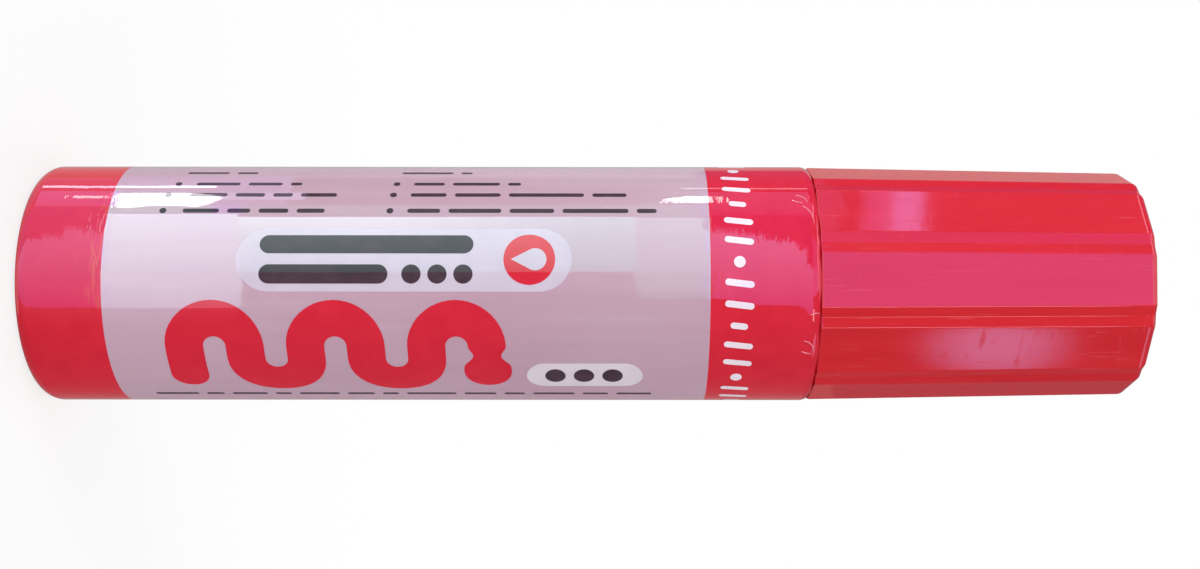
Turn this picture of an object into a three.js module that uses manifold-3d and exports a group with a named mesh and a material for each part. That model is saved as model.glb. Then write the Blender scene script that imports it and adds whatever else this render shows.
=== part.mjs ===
// Liquid glue bottle, standing on its base: a blown bottle in a printed shrink sleeve,
// a slit rubber tip clamped on its neck, and a ten-sided tapered screw cap with a
// sealing cup inside. Millimetres, +Z up along the bottle, origin under its middle.

import * as THREE from 'three';
import { mergeVertices } from 'three/addons/utils/BufferGeometryUtils.js';
import Module from 'manifold-3d';

// Bottle body, measured over the sleeve
const bodyRadius = 15;
const bodyHeight = 97.2;
const baseCornerRadius = 2;
const shoulderRadius = 1.4;
const bottleWall = 0.9;
const standingRingWidth = 2.2;
const pushUpHeight = 1.8;

// Shrink sleeve: the wraps are the degrees of each corner that the film turns
const filmThickness = 0.15;
const filmGap = 0.05;
const filmBaseWrap = 50;
const filmShoulderWrap = 80;

// Glue, filled to a level below the shoulder
const headspace = 12;
const liquidGap = 0.1;

// Neck
const neckHeight = 13.6;
const neckWall = 1.7;
const neckFilletRadius = 0.5;
const threadSpace = 1.45;

// Ring that clamps the tip: it snaps over a bead on the neck's stepped-in end
const collarWall = 0.85;
const collarSeatHeight = 4.2;
const collarTopThickness = 1.1;
const collarEdgeRadius = 0.5;
const snapBead = 0.3;
const snapBeadWidth = 1.2;

// Flow insert: a plate on the neck's mouth with a skirt below and a nozzle above
const insertPlate = 1.2;
const insertSkirt = 5.5;
const insertWall = 1;
const insertLeadIn = 0.5;
const insertLeadInHeight = 1;
const nozzleHeight = 5;
const nozzleWall = 1.3;
const nozzleBevel = 0.4;

// Rubber tip
const tipHeight = 19.15;
const tipFlangeWidth = 3.685;
const tipFlangeThickness = 1.3;
const tipWall = 1.4;
const tipTaper = 0.4;
const tipGrip = 1.15;
const tipGripHeight = 4;
const slitLength = 6;
const slitWidth = 0.3;

// Screw cap: before its grooves are cut, the corners of its mouth stand out past the body
const capCornerProud = 0.28;
const capWall = 1.75;
const capEndWall = 1.4;
const capDraft = 0.95;
const capEndRadius = 1.2;
const capMouthChamfer = 0.35;
const panelCount = 10;
const grooveWidth = 2.8;
const grooveDepth = 0.17;
const capRestTurn = -2;
const socketWall = 1.1;
const socketDepth = 5;

// Sealing cup and soft disc inside the cap
const cupWall = 0.9;
const cupLipBevel = 0.4;
const cupTipSpace = 0.9;
const discThickness = 1.6;

// Clearances: between seated faces, between fitted walls, over the crown of the tip,
// and between the shoulder and the mouth of the closed cap
const seatGap = 0.05;
const wallFit = 0.1;
const crownGap = 0.1;
const capGap = 0.2;

// The label's front, and the middle of a cap panel when capRestTurn is 0, as an angle
// about the axis
const frontAngle = -90;

// Facets
const roundSegments = 40;
const arcSteps = 4;
const smallArcSteps = 2;
const domeSteps = 7;

const radians = THREE.MathUtils.degToRad;

// Body and shoulder: the film and both faces of the wall turn about the same centres
const skin = filmThickness + filmGap;
const baseCentre = [bodyRadius - baseCornerRadius, baseCornerRadius - skin];
const shoulderCentre = [bodyRadius - shoulderRadius, bodyHeight - shoulderRadius];
const shoulderTop = bodyHeight - skin;
const glueTop = bodyHeight - headspace;

// Cap, from its outline inwards to the neck
const panelAngle = radians(360 / panelCount);
const capMouthZ = bodyHeight + capGap;
const capMouthApothem = (bodyRadius + capCornerProud) * Math.cos(panelAngle / 2);
const neckRadius = capMouthApothem - capWall - threadSpace;
const neckBore = neckRadius - neckWall;
const neckTop = shoulderTop + neckHeight;

// Clamping ring, insert and tip, stacked on the mouth of the neck
const collarBore = neckRadius - collarWall;
const neckEndRadius = collarBore - wallFit;
const collarSeatZ = neckTop - collarSeatHeight;
const snapBeadZ = neckTop - collarSeatHeight / 2;
const insertBottom = neckTop + seatGap;
const insertTop = insertBottom + insertPlate;
const tipBottom = insertTop + seatGap;
const tipFlangeTop = tipBottom + tipFlangeThickness;
const tipFlangeRadius = neckEndRadius - wallFit;
const tipRadius = tipFlangeRadius - tipFlangeWidth;
const crownRadius = tipRadius - tipTaper;
const gripRadius = tipRadius - tipWall - tipGrip;
const nozzleRadius = gripRadius - wallFit;
const nozzleBore = nozzleRadius - nozzleWall;
const collarTop = tipFlangeTop + seatGap + collarTopThickness;
const tipTop = collarTop + tipHeight;
const crownCentreZ = tipTop - crownRadius;

// Disc, cup and the end of the cap, stacked on the crown of the tip
const discBottom = tipTop + crownGap;
const cupCeiling = discBottom + discThickness + seatGap;
const cupTop = cupCeiling + cupWall;
const cupBore = tipRadius + cupTipSpace;
const cupRadius = cupBore + cupWall;
const capCeiling = cupTop + seatGap;
const capTop = capCeiling + capEndWall;
const socketBore = cupRadius + wallFit;

function polarPoint(radius, angle, z) {
  return new THREE.Vector3(radius * Math.cos(angle), radius * Math.sin(angle), z);
}

// Points of an arc in the radius-height plane, its angles in degrees.
function arc([centreRadius, centreZ], radius, from, to, steps = arcSteps) {
  return Array.from({ length: steps + 1 }, (_, step) => {
    const angle = radians(from + ((to - from) * step) / steps);
    return [centreRadius + radius * Math.cos(angle), centreZ + radius * Math.sin(angle)];
  });
}

// Turns a profile about the bottle's axis. It runs counterclockwise with the radius to
// the right, and one that doesn't start on the axis is closed on itself.
function revolve(profile) {
  const closed = profile[0][0] > 0 ? [...profile, profile[0]] : profile;
  const points = closed.map(([radius, z]) => new THREE.Vector2(radius, z));
  return new THREE.LatheGeometry(points, roundSegments).rotateX(Math.PI / 2);
}

// The pushed-up middle of the base, from the axis out to the standing ring.
function pushUpCurve(lift) {
  const edge = baseCentre[0] - standingRingWidth;
  return Array.from({ length: arcSteps + 1 }, (_, step) => {
    const share = step / arcSteps;
    return [edge * share, lift + pushUpHeight * (1 - share * share)];
  });
}

// The inside corner between a wall and what it meets keeps some radius in a thick wall.
function insideRadius(outside, wall) {
  return Math.max(outside - wall, outside / 10);
}

function snapBeadProfile(radius, spread) {
  const half = snapBeadWidth / 2 + spread;
  return [
    [radius, snapBeadZ - half],
    [radius + snapBead, snapBeadZ],
    [radius, snapBeadZ + half],
  ];
}

// Blown bottle: body, shoulder and neck in one wall, open at the mouth.
function bottleGeometry() {
  const ledge = shoulderCentre[0] - neckRadius;
  const fillet = Math.min(neckFilletRadius, ledge / 2);
  const filletCentre = [neckRadius + fillet, shoulderTop + fillet];
  return revolve([
    ...pushUpCurve(0),
    ...arc(baseCentre, baseCornerRadius - skin, -90, 0),
    ...arc(shoulderCentre, shoulderRadius - skin, 0, 90),
    ...arc(filletCentre, fillet, 270, 180, smallArcSteps),
    [neckRadius, collarSeatZ],
    [neckEndRadius, collarSeatZ],
    ...snapBeadProfile(neckEndRadius, 0),
    [neckEndRadius, neckTop],
    [neckBore, neckTop],
    [neckBore, shoulderTop - bottleWall],
    ...arc(shoulderCentre, insideRadius(shoulderRadius - skin, bottleWall), 90, 0),
    ...arc(baseCentre, insideRadius(baseCornerRadius - skin, bottleWall), 0, -90),
    ...pushUpCurve(bottleWall).reverse(),
  ]);
}

// Printed film, shrunk tight over the body and round its two corners.
function sleeveGeometry() {
  return revolve([
    ...arc(baseCentre, baseCornerRadius, -filmBaseWrap, 0),
    ...arc(shoulderCentre, shoulderRadius, 0, filmShoulderWrap),
    ...arc(shoulderCentre, shoulderRadius - filmThickness, filmShoulderWrap, 0),
    ...arc(baseCentre, baseCornerRadius - filmThickness, 0, -filmBaseWrap),
  ]);
}

// The glue, standing level in the upright bottle.
function glueGeometry() {
  const corner = insideRadius(baseCornerRadius - skin, bottleWall) - liquidGap;
  const glueRadius = bodyRadius - skin - bottleWall - liquidGap;
  return revolve([
    ...pushUpCurve(bottleWall + liquidGap),
    ...arc(baseCentre, corner, -90, 0),
    [glueRadius, glueTop],
    [0, glueTop],
  ]);
}

// Flow insert: it plugs the neck and leads the glue through its nozzle into the tip.
function insertGeometry() {
  const skirtRadius = neckBore - wallFit;
  const skirtBottom = insertBottom - insertSkirt;
  const nozzleTop = insertTop + nozzleHeight;
  return revolve([
    [nozzleBore, insertBottom],
    [skirtRadius - insertWall, insertBottom],
    [skirtRadius - insertWall, skirtBottom],
    [skirtRadius - insertLeadIn, skirtBottom],
    [skirtRadius, skirtBottom + insertLeadInHeight],
    [skirtRadius, insertBottom],
    [neckEndRadius, insertBottom],
    [neckEndRadius, insertTop],
    [nozzleRadius, insertTop],
    [nozzleRadius, nozzleTop - nozzleBevel],
    [nozzleRadius - nozzleBevel, nozzleTop],
    [nozzleBore, nozzleTop],
  ]);
}

// Clamping ring: its skirt snaps over the neck's bead, its top holds the tip's flange.
function collarGeometry() {
  const edgeCentre = [neckRadius - collarEdgeRadius, collarTop - collarEdgeRadius];
  const hole = tipRadius + wallFit;
  const underside = collarTop - collarTopThickness;
  const bottom = collarSeatZ + seatGap;
  return revolve([
    [collarBore, bottom],
    [neckRadius, bottom],
    ...arc(edgeCentre, collarEdgeRadius, 0, 90, smallArcSteps),
    [hole, collarTop],
    [hole, underside],
    [collarBore, underside],
    ...snapBeadProfile(collarBore, wallFit).reverse(),
  ]);
}

// Closed solid from a geometry, for cutting.
function solidOf(wasm, geometry) {
  const bare = geometry.clone();
  bare.deleteAttribute('normal');
  bare.deleteAttribute('uv');
  const merged = mergeVertices(bare);
  const vertProperties = new Float32Array(merged.attributes.position.array);
  const triVerts = new Uint32Array(merged.index.array);
  return new wasm.Manifold(new wasm.Mesh({ numProp: 3, vertProperties, triVerts }));
}

function geometryOf(solid) {
  const mesh = solid.getMesh();
  const geometry = new THREE.BufferGeometry();
  const positions = new THREE.BufferAttribute(new Float32Array(mesh.vertProperties), 3);
  geometry.setAttribute('position', positions);
  geometry.setIndex(new THREE.BufferAttribute(new Uint32Array(mesh.triVerts), 1));
  geometry.computeVertexNormals();
  return geometry;
}

// Rubber tip: flange, thick grip round the nozzle, hollow dome, and a slit through the
// crown that opens when the bottle is squeezed.
function tipGeometry(wasm) {
  const crownCentre = [0, crownCentreZ];
  const cavityBottom = tipBottom + tipGripHeight;
  const dome = revolve([
    ...arc(crownCentre, crownRadius - tipWall, 90, 0, domeSteps),
    [gripRadius + tipGrip, cavityBottom + tipGrip],
    [gripRadius, cavityBottom],
    [gripRadius, tipBottom],
    [tipFlangeRadius, tipBottom],
    [tipFlangeRadius, tipFlangeTop],
    [tipRadius, tipFlangeTop],
    ...arc(crownCentre, crownRadius, 0, 90, domeSteps),
  ]);
  const slitDepth = crownRadius + tipWall;
  const slit = new THREE.BoxGeometry(slitLength, slitWidth, slitDepth);
  slit.translate(0, 0, crownCentreZ + slitDepth / 2);
  return geometryOf(solidOf(wasm, dome).subtract(solidOf(wasm, slit)));
}

// Outline of the cap at one height: flat panels whose corners are cut by shallow V grooves.
// Each panel gives four points, and each groove one, at its bottom.
function capOutline(apothem, z) {
  const halfPanel = apothem * Math.tan(panelAngle / 2);
  const rim = halfPanel - grooveWidth / 2;
  const grooveCut = (grooveWidth / 2) * Math.tan(panelAngle / 2) + grooveDepth;
  const grooveBottom = apothem / Math.cos(panelAngle / 2) - grooveCut;
  const outline = [];
  for (let panel = 0; panel < panelCount; panel += 1) {
    const facing = radians(frontAngle + capRestTurn) + panel * panelAngle;
    const corner = facing + panelAngle / 2;
    for (const along of [-rim, -rim / 3, rim / 3, rim]) {
      const x = apothem * Math.cos(facing) - along * Math.sin(facing);
      const y = apothem * Math.sin(facing) + along * Math.cos(facing);
      outline.push(new THREE.Vector3(x, y, z));
    }
    outline.push(polarPoint(grooveBottom, corner, z));
  }
  return outline;
}

// Round ring whose points lie at the same angles as those of an outline.
function ringLike(outline, radius, z) {
  return outline.map((point) => polarPoint(radius, Math.atan2(point.y, point.x), z));
}

// Joins rings of equal count into one closed skin, from a pole to a pole on the axis.
function loftBetweenPoles(firstPoleZ, rings, lastPoleZ) {
  const count = rings[0].length;
  const poles = [firstPoleZ, lastPoleZ].map((z) => new THREE.Vector3(0, 0, z));
  const points = [...rings.flat(), ...poles];
  const firstPole = rings.length * count;
  const lastPole = firstPole + 1;
  const faces = [];
  for (let side = 0; side < count; side += 1) {
    const next = (side + 1) % count;
    faces.push(firstPole, side, next);
    for (let ring = 0; ring < rings.length - 1; ring += 1) {
      const here = ring * count;
      const there = here + count;
      faces.push(here + side, there + side, there + next);
      faces.push(here + side, there + next, here + next);
    }
    const end = (rings.length - 1) * count;
    faces.push(lastPole, end + next, end + side);
  }
  const geometry = new THREE.BufferGeometry().setFromPoints(points);
  geometry.setIndex(faces);
  geometry.computeVertexNormals();
  return geometry;
}

// Cap shell: tapered panels and grooves outside, a round bore inside, and a socket under
// the end wall that holds the sealing cup.
function capGeometry() {
  const slope = Math.tan(radians(capDraft));
  const apothemAt = (z) => capMouthApothem - (z - capMouthZ) * slope;
  const shoulderZ = capTop - capEndRadius;
  const endCentre = [apothemAt(shoulderZ) - capEndRadius, shoulderZ];
  const outside = [
    ...arc(endCentre, capEndRadius, 90, 0),
    [apothemAt(capMouthZ + capMouthChamfer), capMouthZ + capMouthChamfer],
    [capMouthApothem - capMouthChamfer, capMouthZ],
  ].map(([apothem, z]) => capOutline(apothem, z));
  const mouth = outside[outside.length - 1];
  const inside = [
    [capMouthApothem - capWall, capMouthZ],
    [apothemAt(capCeiling) - capWall, capCeiling],
    [socketBore + socketWall, capCeiling],
    [socketBore + socketWall, capCeiling - socketDepth],
    [socketBore, capCeiling - socketDepth],
    [socketBore, capCeiling],
  ].map(([radius, z]) => ringLike(mouth, radius, z));
  return loftBetweenPoles(capTop, [...outside, ...inside], capCeiling);
}

// Sealing cup: it covers the tip and shuts on the clamping ring.
function cupGeometry() {
  const lip = collarTop + crownGap;
  return revolve([
    [0, cupCeiling],
    [cupBore, cupCeiling],
    [cupBore, lip],
    [cupRadius - cupLipBevel, lip],
    [cupRadius, lip + cupLipBevel],
    [cupRadius, cupTop],
    [0, cupTop],
  ]);
}

// Soft disc in the top of the cup, which presses on the slit.
function discGeometry() {
  const radius = cupBore - wallFit;
  return revolve([
    [0, discBottom],
    [radius, discBottom],
    [radius, discBottom + discThickness],
    [0, discBottom + discThickness],
  ]);
}

function piece(name, geometry, color, roughness) {
  const material = new THREE.MeshStandardMaterial({ color, roughness, metalness: 0 });
  const mesh = new THREE.Mesh(geometry, material);
  mesh.name = name;
  return mesh;
}

const wasm = await Module();
wasm.setup();

const bottleSide = new THREE.Group();
bottleSide.add(piece('bottle', bottleGeometry(), 0xd8cfdd, 0.45));
bottleSide.add(piece('label_sleeve', sleeveGeometry(), 0xd9304f, 0.12));
bottleSide.add(piece('glue_fill', glueGeometry(), 0xe6e2ea, 0.1));
bottleSide.add(piece('flow_insert', insertGeometry(), 0xf1efea, 0.45));
bottleSide.add(piece('rubber_tip', tipGeometry(wasm), 0xc99a5a, 0.55));
bottleSide.add(piece('tip_collar', collarGeometry(), 0xf1efea, 0.4));

const capSide = new THREE.Group();
capSide.add(piece('cap_shell', capGeometry(), 0xd93045, 0.15));
capSide.add(piece('seal_cup', cupGeometry(), 0xe9e7e2, 0.5));
capSide.add(piece('seal_disc', discGeometry(), 0xf4f4f0, 0.8));

const glueBottle = new THREE.Group();
glueBottle.add(bottleSide, capSide);

export default glueBottle;
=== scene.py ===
import bmesh
import bpy
import math
from mathutils import Matrix, Vector


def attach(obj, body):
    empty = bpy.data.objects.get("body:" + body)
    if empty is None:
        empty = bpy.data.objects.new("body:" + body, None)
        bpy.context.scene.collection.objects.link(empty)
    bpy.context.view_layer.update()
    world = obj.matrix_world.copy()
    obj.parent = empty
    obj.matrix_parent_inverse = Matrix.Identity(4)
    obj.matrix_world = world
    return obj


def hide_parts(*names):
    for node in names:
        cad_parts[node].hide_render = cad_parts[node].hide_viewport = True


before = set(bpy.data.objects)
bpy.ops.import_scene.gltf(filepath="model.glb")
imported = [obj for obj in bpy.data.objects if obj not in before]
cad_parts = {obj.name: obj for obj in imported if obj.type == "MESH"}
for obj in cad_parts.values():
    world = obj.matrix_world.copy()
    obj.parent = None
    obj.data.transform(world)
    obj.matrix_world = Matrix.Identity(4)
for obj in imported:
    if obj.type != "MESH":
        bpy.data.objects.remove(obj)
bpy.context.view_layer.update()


# Bottle: blown from one tube of natural polyethylene, which is milky by itself. The two halves
# of the mould leave a fine line over the shoulder and neck, and the pinched end of the tube
# leaves a weld across the base. The neck carries one and a half turns of thread.

mm = 0.001
tiny = 1e-6
bottle_radius = 14.8
wall_thickness = 0.9
inside_radius = bottle_radius - wall_thickness
shoulder_top = 97.0
neck_radius = 11.335
neck_end_radius = 10.385
neck_end_start = 106.4
neck_bore = 9.635
neck_top = 110.6
snap_bead_middle = 108.5
snap_bead_half = 0.6
snap_bead_depth = 0.3
push_up_radius = 10.8
push_up_height = 1.8
weld_height = 0.12
weld_end_gap = 0.5
parting_line_height = 0.06
parting_line_start = shoulder_top - 2
parting_line_radius = 10.0
thread_pitch = 3.0
thread_start_angle = math.radians(20)
neck_thread_crest = 12.2
neck_thread_start = 99.2
neck_thread_turns = 1.5


def softened(corners, radius, steps=4, closed=True):
    """Rounds the corners of a profile. A corner may carry its own radius as a third number."""
    points = []
    for index, corner in enumerate(corners):
        here = Vector(corner[:2])
        own = corner[2] if len(corner) > 2 else radius
        end = not closed and index in (0, len(corners) - 1)
        if own == 0 or end:
            points.append(tuple(here))
            continue
        back = Vector(corners[index - 1][:2]) - here
        onward = Vector(corners[(index + 1) % len(corners)][:2]) - here
        half = back.angle(onward) / 2
        longest = 0.45 * min(back.length, onward.length)
        trim = min(own / math.tan(half), longest)
        reach = trim / math.cos(half)
        centre = here + (back.normalized() + onward.normalized()).normalized() * reach
        first = here + back.normalized() * trim - centre
        last = here + onward.normalized() * trim - centre
        start = math.atan2(first.y, first.x)
        sweep = (math.atan2(last.y, last.x) - start + math.pi) % (2 * math.pi) - math.pi
        for step in range(steps + 1):
            angle = start + sweep * step / steps
            points.append((centre.x + first.length * math.cos(angle),
                           centre.y + first.length * math.sin(angle)))
    return points


def turned(profile, steps=144, drawn=None):
    """Turns a radius and height profile about the bottle's axis. drawn may shift each point."""
    points, rings = [], []
    for radius, height in profile:
        if radius < tiny:
            rings.append([len(points)] * steps)
            points.append((0, 0, height))
            continue
        rings.append(range(len(points), len(points) + steps))
        for step in range(steps):
            angle = 2 * math.pi * step / steps
            out, up = drawn(radius, height, angle) if drawn else (radius, height)
            points.append((out * math.cos(angle), out * math.sin(angle), up))
    pairs = list(zip(rings, rings[1:]))
    if profile[0][0] > tiny:
        pairs.append((rings[-1], rings[0]))
    faces = []
    for low, high in pairs:
        for step in range(steps):
            onward = (step + 1) % steps
            loop = dict.fromkeys([low[step], low[onward], high[onward], high[step]])
            if len(loop) > 2:
                faces.append(list(loop))
    return points, faces


def rod_faces(lengths):
    """Faces of a rod with four-sided sections, closed at both ends."""
    faces = []
    for here in range(0, 4 * lengths, 4):
        for side in range(4):
            onward = (side + 1) % 4
            faces.append([here + side, here + onward, here + 4 + onward, here + 4 + side])
    return [*faces, [0, 1, 2, 3], [4 * lengths + side for side in (3, 2, 1, 0)]]


def thread(root, crest, start, turns, first_angle):
    """A screw thread: a ridge from root to crest radius that rises one pitch a turn."""
    steps = 48
    run_out = 6
    foot_half = 0.75
    crest_half = 0.3
    count = round(turns * steps)
    points = []
    for step in range(count + 1):
        angle = first_angle + 2 * math.pi * step / steps
        height = start + thread_pitch * step / steps
        grown = min(1, (min(step, count - step) + 0.5) / run_out)
        top = root + (crest - root) * grown
        for radius, up in ((root, -foot_half), (top, -crest_half),
                           (top, crest_half), (root, foot_half)):
            points.append((radius * math.cos(angle), radius * math.sin(angle), height + up))
    return points, rod_faces(count)


def placed(name, data):
    """Puts a mesh, a lamp or a camera in the scene."""
    piece = bpy.data.objects.new(name, data)
    bpy.context.scene.collection.objects.link(piece)
    return piece


def made(name, *shapes, sharp=32, even=True):
    """One object from shapes in millimetres, smooth except where it turns sharply.

    With even, flat faces keep their flat shading beside rounded edges."""
    points, faces = [], []
    for shape_points, shape_faces in shapes:
        faces += [[len(points) + corner for corner in face] for face in shape_faces]
        points += shape_points
    mesh = bpy.data.meshes.new(name)
    mesh.from_pydata([Vector(point) * mm for point in points], [], faces)
    work = bmesh.new()
    work.from_mesh(mesh)
    bmesh.ops.remove_doubles(work, verts=work.verts, dist=1e-7)
    bmesh.ops.recalc_face_normals(work, faces=work.faces)
    work.to_mesh(mesh)
    work.free()
    mesh.shade_smooth()
    mesh.set_sharp_from_angle(angle=math.radians(sharp))
    piece = placed(name, mesh)
    if even:
        weighted = piece.modifiers.new("flat_faces", "WEIGHTED_NORMAL")
        weighted.mode = "FACE_AREA"
        weighted.weight = 100
        weighted.keep_sharp = True
    return piece


class Signal:
    """An output of a shader node. Arithmetic on it adds Math nodes to the same finish."""

    def __init__(self, finish, socket):
        self.finish = finish
        self.socket = socket

    def maths(self, operation, *values):
        settings = {"operation": operation}
        return self.finish.node("ShaderNodeMath", settings, dict(enumerate(values)))

    def __getitem__(self, output):
        return Signal(self.finish, self.socket.node.outputs[output])

    def __add__(self, other):
        return self.maths("ADD", self, other)

    def __radd__(self, other):
        return self.maths("ADD", other, self)

    def __sub__(self, other):
        return self.maths("SUBTRACT", self, other)

    def __rsub__(self, other):
        return self.maths("SUBTRACT", other, self)

    def __mul__(self, other):
        return self.maths("MULTIPLY", self, other)

    def __rmul__(self, other):
        return self.maths("MULTIPLY", other, self)

    def __gt__(self, other):
        return self.maths("GREATER_THAN", self, other)


class Finish:
    """The nodes of one finish, added one by one."""

    def __init__(self, owner):
        owner.use_nodes = True
        self.owner = owner
        self.tree = owner.node_tree
        self.tree.nodes.clear()

    def node(self, kind, settings=None, sockets=None):
        """Adds a node with its settings, then its sockets' values or links."""
        added = self.tree.nodes.new(kind)
        for name, value in (settings or {}).items():
            setattr(added, name, value)
        for name, value in (sockets or {}).items():
            if isinstance(value, Signal):
                self.tree.links.new(value.socket, added.inputs[name])
            else:
                added.inputs[name].default_value = value
        return Signal(self, next((o for o in added.outputs if o.enabled), None))

    def grain(self, place, size, detail=2.0):
        """Soft noise from 0 to 1 whose lumps are about size millimetres across."""
        sockets = {"Vector": place, "Scale": 0.5 / (size * mm), "Detail": detail}
        return self.node("ShaderNodeTexNoise", {}, sockets)

    def stretched(self, place, factors):
        sockets = {0: place, 1: factors}
        return self.node("ShaderNodeVectorMath", {"operation": "MULTIPLY"}, sockets)

    def blend(self, share, first, second):
        settings = {"data_type": "RGBA"}
        return self.node("ShaderNodeMix", settings, {0: share, 6: first, 7: second})["Result"]

    def steep(self, value, low, high):
        """Runs from 0 at low to 1 at high, with soft ends."""
        sockets = {"Value": value, "From Min": low, "From Max": high}
        return self.node("ShaderNodeMapRange", {"interpolation_type": "SMOOTHSTEP"}, sockets)

    def relief(self, height, depth):
        """Surface normal from a height signal that is worth depth millimetres at 1."""
        return self.node("ShaderNodeBump", {}, {"Height": height, "Distance": depth * mm})

    def surface(self, sockets):
        return self.output(self.node("ShaderNodeBsdfPrincipled", {}, sockets))

    def output(self, shader):
        """Ends the finish with a shader and returns its material."""
        self.node("ShaderNodeOutputMaterial", {}, {"Surface": shader})
        return self.owner


def new_finish(name):
    """An empty finish, and the place on the piece that wears it."""
    finish = Finish(bpy.data.materials.new(name))
    return finish, finish.node("ShaderNodeTexCoord")["Object"]


def tint(code):
    """A colour from its usual six-digit code, as the shader's linear values."""
    shares = [int(code[place:place + 2], 16) / 255 for place in (0, 2, 4)]
    linear = [s / 12.92 if s <= 0.04045 else ((s + 0.055) / 1.055) ** 2.4 for s in shares]
    return (*linear, 1)


def push_up(lift):
    """The arched middle of the base, from the axis outwards."""
    steps = 8
    shares = [step / steps for step in range(steps + 1)]
    return [(push_up_radius * s, lift + push_up_height * (1 - s * s), 0) for s in shares]


def mould_marks(radius, height, angle):
    """Raises the parting line on the neck and shoulder, and the weld under the base."""
    if abs(math.sin(angle)) > tiny:
        return radius, height
    if height > parting_line_start and radius > parting_line_radius:
        return radius + parting_line_height, height
    if height < push_up_height and weld_end_gap < radius < push_up_radius - weld_end_gap:
        return radius, height - weld_height
    return radius, height


wall = turned(softened([
    *push_up(0),
    (bottle_radius, 0, 1.8),
    (bottle_radius, shoulder_top, 1.2),
    (neck_radius, shoulder_top, 0.5),
    (neck_radius, neck_end_start, 0.15),
    (neck_end_radius, neck_end_start, 0.15),
    (neck_end_radius, snap_bead_middle - snap_bead_half, 0.2),
    (neck_end_radius + snap_bead_depth, snap_bead_middle, 0.2),
    (neck_end_radius, snap_bead_middle + snap_bead_half, 0.2),
    (neck_end_radius, neck_top, 0.2),
    (neck_bore, neck_top, 0.2),
    (neck_bore, shoulder_top - wall_thickness, 0.3),
    (inside_radius, shoulder_top - wall_thickness, 0.3),
    (inside_radius, wall_thickness, 0.9),
    *reversed(push_up(wall_thickness)),
], 0.1, steps=6, closed=False), drawn=mould_marks)
neck_thread = thread(neck_radius - 0.1, neck_thread_crest, neck_thread_start,
                     neck_thread_turns, thread_start_angle)
bottle = made("blown_bottle", wall, neck_thread)

milky, place = new_finish("natural_polyethylene")
clouds = milky.grain(place, 6)
flow = milky.grain(milky.stretched(place, (1, 1, 0.12)), 1.2)
orange_peel = milky.grain(place, 0.35)
bottle.data.materials.append(milky.surface({
    "Base Color": milky.blend(milky.steep(clouds * 0.7 + flow * 0.3, 0.35, 0.65),
                              tint("CDB9CC"), tint("DCCDDB")),
    "Roughness": 0.32 + 0.12 * orange_peel,
    "Normal": milky.relief(orange_peel * 0.5 + flow * 0.5, 0.01),
    "Subsurface Weight": 0.25,
    "Subsurface Radius": (1.0, 0.8, 0.9),
    "Subsurface Scale": 1.5 * mm,
}))
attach(bottle, "bottle_body")
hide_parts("bottle")


# Glue: fifty millilitres of clear, slightly cloudy liquid, poured in after the blow moulding.
# It stands level in the upright bottle and climbs a little at the wall.

glue_gap = 0.1
glue_radius = inside_radius - glue_gap
glue_bottom = wall_thickness + glue_gap
glue_level = 85.2

glue = made("glue", turned(softened([
    *push_up(glue_bottom),
    (glue_radius, glue_bottom, 0.8),
    (glue_radius, glue_level + 0.7, 0.05),
    (glue_radius - 0.35, glue_level + 0.2, 0.3),
    (glue_radius - 1.2, glue_level, 0.6),
    (0, glue_level, 0),
], 0.1, closed=False), steps=96))

liquid, place = new_finish("cloudy_glue")
haze = liquid.grain(place, 8)
bubbles = liquid.node("ShaderNodeTexVoronoi", {}, {"Vector": place, "Scale": 420})["Distance"]
glue.data.materials.append(liquid.surface({
    "Base Color": liquid.blend(haze, tint("DDD8E2"), tint("EDEAF0")),
    "Roughness": 0.06 + 0.1 * haze,
    "Normal": liquid.relief(1 - liquid.steep(bubbles, 0.0, 0.2), 0.05),
}))
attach(glue, "bottle_body")
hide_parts("glue_fill")


# Flow insert: a plug of white polyethylene, pressed into the neck. Its nozzle leads the glue up
# into the rubber tip, and its plate lies between the mouth of the neck and the tip's flange.

plug_radius = 9.535
plug_wall = 1.0
plug_bottom = 105.15
plate_bottom = 110.65
plate_top = 111.85
nozzle_bore = 2.65
nozzle_radius = 3.95
nozzle_top = 116.85
nozzle_bevel = 0.4

insert = made("nozzle_insert", turned(softened([
    (nozzle_bore, plate_bottom),
    (plug_radius - plug_wall, plate_bottom, 0.3),
    (plug_radius - plug_wall, plug_bottom),
    (plug_radius - plug_wall / 2, plug_bottom),
    (plug_radius, plug_bottom + 1),
    (plug_radius, plate_bottom, 0.2),
    (neck_end_radius, plate_bottom),
    (neck_end_radius, plate_top),
    (nozzle_radius, plate_top, 0.4),
    (nozzle_radius, nozzle_top - nozzle_bevel),
    (nozzle_radius - nozzle_bevel, nozzle_top),
    (nozzle_bore, nozzle_top),
], 0.12), steps=120))


def moulded_white(name, pale, shaded):
    """Satin white plastic with flow lines along the axis and the fine texture of its mould."""
    satin, spot = new_finish(name)
    lines = satin.grain(satin.stretched(spot, (1, 1, 0.15)), 0.8)
    texture = satin.grain(spot, 0.18, 3)
    return satin.surface({
        "Base Color": satin.blend(satin.steep(lines, 0.35, 0.65), tint(shaded), tint(pale)),
        "Roughness": 0.3 + 0.2 * texture,
        "Normal": satin.relief(texture, 0.012),
    })


insert.data.materials.append(moulded_white("insert_plastic", "F1EFEA", "E6E3DC"))
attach(insert, "bottle_body")
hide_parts("flow_insert")


# Rubber tip: a hollow dome of natural rubber, moulded with a flange that lies on the insert.
# The slit in its crown is cut after moulding, stays shut by itself and opens when the bottle
# is squeezed.

crown_height = 127.3
crown_inside = 4.8
crown_outside = 6.2
tip_hole = 4.05
flange_radius = 10.285
flange_bottom = 111.9
flange_top = 113.2
slit_half_length = 3.0
slit_half_width = 0.13
blade_top = 136


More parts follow.
